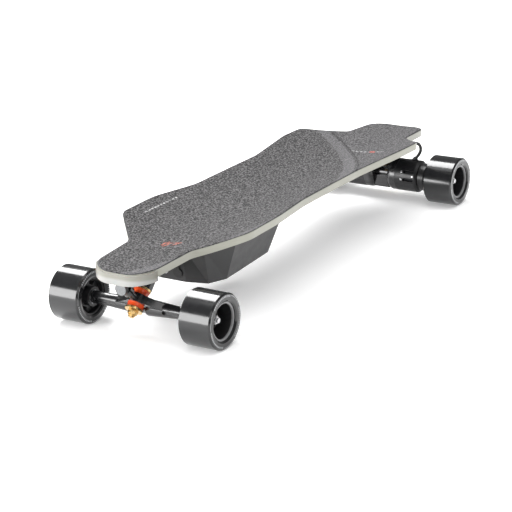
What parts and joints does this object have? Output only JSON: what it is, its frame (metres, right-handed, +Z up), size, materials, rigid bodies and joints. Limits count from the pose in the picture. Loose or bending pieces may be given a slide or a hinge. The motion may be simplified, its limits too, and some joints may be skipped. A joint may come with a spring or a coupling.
{
  "type": "electric skateboard",
  "caption": "Longboard with grip-taped saddle deck, faceted battery case under the nose half and a motor-driven rear truck.",
  "frame": {"origin": "on the ground, under the middle of the deck and midway between the trucks", "axes": "+X to the nose, +Y to the board's left, +Z up"},
  "size_m": [0.949, 0.317, 0.1469],
  "materials": {
    "battery_case": "moulded",
    "battery_pack": "shrink wrap",
    "bms_board": "solder mask",
    "bushing_washers": "plated",
    "cable_cover": "moulded",
    "case_gasket": "matte",
    "case_screws": "black oxide",
    "charge_port": "moulded",
    "charge_port_cap": "matte",
    "deck": "cream painted edge, satin",
    "esc_board": "solder mask",
    "front_axle": "plated",
    "front_axle_nuts": "plated",
    "front_baseplate": "satin black",
    "front_bushing_boardside": "translucent urethane",
    "front_bushing_roadside": "translucent urethane",
    "front_hanger": "satin black",
    "front_left_bearings": "ground",
    "front_left_core": "glass-filled nylon",
    "front_left_tyre": "smooth urethane",
    "front_right_bearings": "ground",
    "front_right_core": "glass-filled nylon",
    "front_right_tyre": "smooth urethane",
    "front_riser": "matte",
    "front_speed_washers": "plated",
    "grip_tape": "coarse speckled grit",
    "headlight_body": "moulded",
    "headlight_lens": "frosted",
    "kingpin_nuts": "plated",
    "kingpins": "plated",
    "left_drive_hub": "satin black",
    "left_motor_cable": "jacketed cable",
    "left_motor_housing": "satin black",
    "left_rotor": "machined",
    "motor_stators": "laminated and wound",
    "motor_wire_ribbon": "jacketed cable",
    "nose_bumper": "satin",
    "pivot_cups": "matte urethane",
    "power_button": "satin",
    "rear_axle": "plated",
    "rear_axle_nuts": "plated",
    "rear_baseplate": "satin black",
    "rear_bushing_boardside": "matte urethane",
    "rear_bushing_roadside": "matte urethane",
    "rear_hanger": "satin black",
    "rear_left_bearings": "ground",
    "rear_left_core": "glass-filled nylon",
    "rear_left_tyre": "smooth urethane",
    "rear_right_bearings": "ground",
    "rear_right_core": "glass-filled nylon",
    "rear_right_tyre": "smooth urethane",
    "rear_riser": "matte",
    "rear_speed_washers": "plated",
    "right_drive_hub": "satin black",
    "right_motor_cable": "jacketed cable",
    "right_motor_housing": "satin black",
    "right_rotor": "machined",
    "truck_bolts": "black oxide",
    "wire_raceway": "moulded"
  },
  "bodies": {
    "board": {"battery_case": "battery_case", "battery_pack": "battery_pack", "bms_board": "bms_board", "bushing_washers": "bushing_washers", "cable_cover": "cable_cover", "case_gasket": "case_gasket", "case_screws": "case_screws", "charge_port": "charge_port", "deck": "deck", "esc_board": "esc_board", "front_baseplate": "front_baseplate", "front_bushing_boardside": "front_bushing_boardside", "front_bushing_roadside": "front_bushing_roadside", "front_riser": "front_riser", "grip_tape": "grip_tape", "headlight_body": "headlight_body", "headlight_lens": "headlight_lens", "kingpin_nuts": "kingpin_nuts", "kingpins": "kingpins", "left_motor_cable": "left_motor_cable", "motor_wire_ribbon": "motor_wire_ribbon", "nose_bumper": "nose_bumper", "pivot_cups": "pivot_cups", "rear_baseplate": "rear_baseplate", "rear_bushing_boardside": "rear_bushing_boardside", "rear_bushing_roadside": "rear_bushing_roadside", "rear_riser": "rear_riser", "right_motor_cable": "right_motor_cable", "truck_bolts": "truck_bolts", "wire_raceway": "wire_raceway"},
    "front_truck": {"front_hanger": "front_hanger", "front_axle": "front_axle", "front_axle_nuts": "front_axle_nuts", "front_speed_washers": "front_speed_washers"},
    "rear_truck": {"rear_hanger": "rear_hanger", "rear_axle": "rear_axle", "rear_axle_nuts": "rear_axle_nuts", "rear_speed_washers": "rear_speed_washers", "left_motor_housing": "left_motor_housing", "right_motor_housing": "right_motor_housing", "motor_stators": "motor_stators"},
    "front_left_wheel": {"front_left_tyre": "front_left_tyre", "front_left_core": "front_left_core", "front_left_bearings": "front_left_bearings"},
    "front_right_wheel": {"front_right_tyre": "front_right_tyre", "front_right_core": "front_right_core", "front_right_bearings": "front_right_bearings"},
    "rear_left_wheel": {"rear_left_tyre": "rear_left_tyre", "rear_left_core": "rear_left_core", "rear_left_bearings": "rear_left_bearings", "left_rotor": "left_rotor", "left_drive_hub": "left_drive_hub"},
    "rear_right_wheel": {"rear_right_tyre": "rear_right_tyre", "rear_right_core": "rear_right_core", "rear_right_bearings": "rear_right_bearings", "right_rotor": "right_rotor", "right_drive_hub": "right_drive_hub"},
    "power_switch": {"power_button": "power_button"},
    "port_cap": {"charge_port_cap": "charge_port_cap"}
  },
  "joints": [
    {"name": "front_steer", "type": "hinge", "parent": "board", "child": "front_truck", "pos_m": [0.4181, 0, 0.0585], "axis": [0.7071, 0, 0.7071], "range_deg": [-12, 12], "stiffness_Nm_per_rad": 80, "deforming": ["front_bushing_boardside", "front_bushing_roadside"]},
    {"name": "rear_steer", "type": "hinge", "parent": "board", "child": "rear_truck", "pos_m": [-0.4181, 0, 0.0585], "axis": [-0.7071, 0, 0.7071], "range_deg": [-12, 12], "stiffness_Nm_per_rad": 80, "deforming": ["rear_bushing_boardside", "rear_bushing_roadside", "left_motor_cable", "right_motor_cable"]},
    {"name": "front_left_spin", "type": "hinge", "parent": "front_truck", "child": "front_left_wheel", "pos_m": [0.4056, 0.124, 0.045], "axis": [0, 1, 0], "continuous": true},
    {"name": "front_right_spin", "type": "hinge", "parent": "front_truck", "child": "front_right_wheel", "pos_m": [0.4056, -0.124, 0.045], "axis": [0, 1, 0], "continuous": true},
    {"name": "rear_left_spin", "type": "hinge", "parent": "rear_truck", "child": "rear_left_wheel", "pos_m": [-0.4056, 0.1295, 0.045], "axis": [0, 1, 0], "continuous": true},
    {"name": "rear_right_spin", "type": "hinge", "parent": "rear_truck", "child": "rear_right_wheel", "pos_m": [-0.4056, -0.1295, 0.045], "axis": [0, 1, 0], "continuous": true},
    {"name": "power_press", "type": "slide", "parent": "board", "child": "power_switch", "axis": [-0.9887, 0, 0.1498], "range_m": [0, 0.0008], "stiffness_N_per_m": 600, "springref_m": -0.0008},
    {"name": "port_cap_hinge", "type": "hinge", "parent": "board", "child": "port_cap", "pos_m": [0.32351, 0.011, 0.08745], "axis": [0, 1, 0], "range_deg": [-100, 0]}
  ]
}
